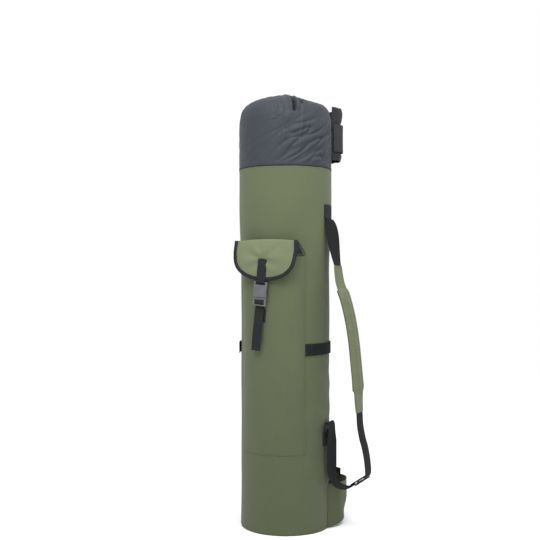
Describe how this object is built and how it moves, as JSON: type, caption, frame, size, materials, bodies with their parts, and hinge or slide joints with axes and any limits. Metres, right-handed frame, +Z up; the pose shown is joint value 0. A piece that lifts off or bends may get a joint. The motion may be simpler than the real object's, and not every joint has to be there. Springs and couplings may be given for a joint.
{
  "type": "rod case",
  "caption": "Upright padded fabric tube with a gathered drawcord mouth, a buckled flap pocket, outside rod pockets and wraps, and a padded shoulder strap.",
  "frame": {"origin": "centre of the tube's round base, on the floor", "axes": "+Z up along the tube, -Y out of the front that the flap pocket is on, +X towards the side of the shoulder strap"},
  "size_m": [0.2961, 0.2572, 0.955],
  "materials": {
    "cover_fabric": "woven matt",
    "collar_nylon": "thin woven nylon with a slight sheen",
    "black_webbing": "ribbed webbing",
    "binding_tape": "folded grosgrain tape",
    "lining": "plain woven",
    "foam": "closed-cell foam",
    "base_board": "pressed board",
    "buckle_plastic": "moulded, satin",
    "spring_wire": "wire"
  },
  "bodies": {
    "root": {"outer_cover": "cover_fabric", "base_panel": "cover_fabric", "base_board": "base_board", "foam_liner": "foam", "inner_lining": "lining", "collar": "collar_nylon", "mouth_hem": "collar_nylon", "drawcord": "black_webbing", "cord_lock_body": "buckle_plastic", "cord_lock_spring": "spring_wire", "pocket_panel": "cover_fabric", "pocket_mouth_hem": "cover_fabric", "flap_back": "cover_fabric", "pocket_anchor_webbing": "black_webbing", "mid_band": "black_webbing", "rod_pocket_right": "cover_fabric", "rod_pocket_back": "cover_fabric", "rod_pocket_tab": "black_webbing", "rod_wrap_right": "collar_nylon", "rod_wrap_back": "collar_nylon", "strap_anchor_upper": "black_webbing", "strap_anchor_lower": "black_webbing", "strap_webbing_stub": "black_webbing", "anchor_ring": "buckle_plastic", "ring_keeper": "black_webbing", "strap_ring_loop": "black_webbing"},
    "flap": {"flap_panel": "cover_fabric", "flap_lining": "lining", "flap_binding": "binding_tape", "flap_webbing": "black_webbing", "buckle_socket": "buckle_plastic"},
    "plug": {"buckle_plug": "buckle_plastic", "adjuster_tail": "black_webbing"},
    "prong_left": {"buckle_prong_left": "buckle_plastic"},
    "prong_right": {"buckle_prong_right": "buckle_plastic"},
    "strap": {"strap_webbing_upper": "black_webbing", "strap_tab_upper": "cover_fabric", "strap_pad": "cover_fabric", "strap_pad_backing": "black_webbing", "strap_tab_lower": "cover_fabric", "strap_webbing_lower": "black_webbing"},
    "glide": {"tri_glide": "buckle_plastic"},
    "lock_button": {"cord_lock_button": "buckle_plastic"},
    "wrap_strap_right": {"rod_wrap_strap_right": "black_webbing"},
    "wrap_strap_back": {"rod_wrap_strap_back": "black_webbing"}
  },
  "joints": [
    {"name": "flap_lift", "type": "hinge", "parent": "root", "child": "flap", "pos_m": [-0.04215, -0.107, 0.627], "axis": [-0.9304, 0.3665, 0], "range_deg": [0, 150]},
    {"name": "buckle_release", "type": "slide", "parent": "root", "child": "plug", "axis": [-0.0811, 0.0319, -0.9962], "range_m": [0, 0.028]},
    {"name": "prong_right_squeeze", "type": "hinge", "parent": "plug", "child": "prong_right", "pos_m": [-0.04865, -0.10519, 0.50476], "axis": [-0.3665, -0.9304, 0], "range_deg": [0, 7], "stiffness_Nm_per_rad": 0.05},
    {"name": "prong_left_squeeze", "type": "hinge", "parent": "plug", "child": "prong_left", "pos_m": [-0.06218, -0.09986, 0.50604], "axis": [0.3665, 0.9304, 0], "range_deg": [0, 7], "stiffness_Nm_per_rad": 0.05},
    {"name": "strap_swing", "type": "hinge", "parent": "root", "child": "strap", "pos_m": [0.0938, -0.04374, 0.42], "axis": [0, 0, 1], "range_deg": [-25, 25]},
    {"name": "glide_slide", "type": "slide", "parent": "strap", "child": "glide", "axis": [-0.744, 0.3469, -0.5711], "range_m": [-0.002, 0.015]},
    {"name": "lock_press", "type": "slide", "parent": "root", "child": "lock_button", "axis": [-1, 0, 0], "range_m": [0, 0.003], "stiffness_N_per_m": 400, "deforming": ["cord_lock_spring"]},
    {"name": "wrap_strap_right_open", "type": "hinge", "parent": "root", "child": "wrap_strap_right", "pos_m": [0.08426, 0.06349, 0.8565], "axis": [0, 0, 1], "range_deg": [0, 110]},
    {"name": "wrap_strap_back_open", "type": "hinge", "parent": "root", "child": "wrap_strap_back", "pos_m": [-0.07962, 0.06921, 0.8565], "axis": [0, 0, 1], "range_deg": [0, 110]}
  ],
  "couplings": [
    {"joint": "prong_left_squeeze", "follows": "prong_right_squeeze", "ratio": 1}
  ]
}
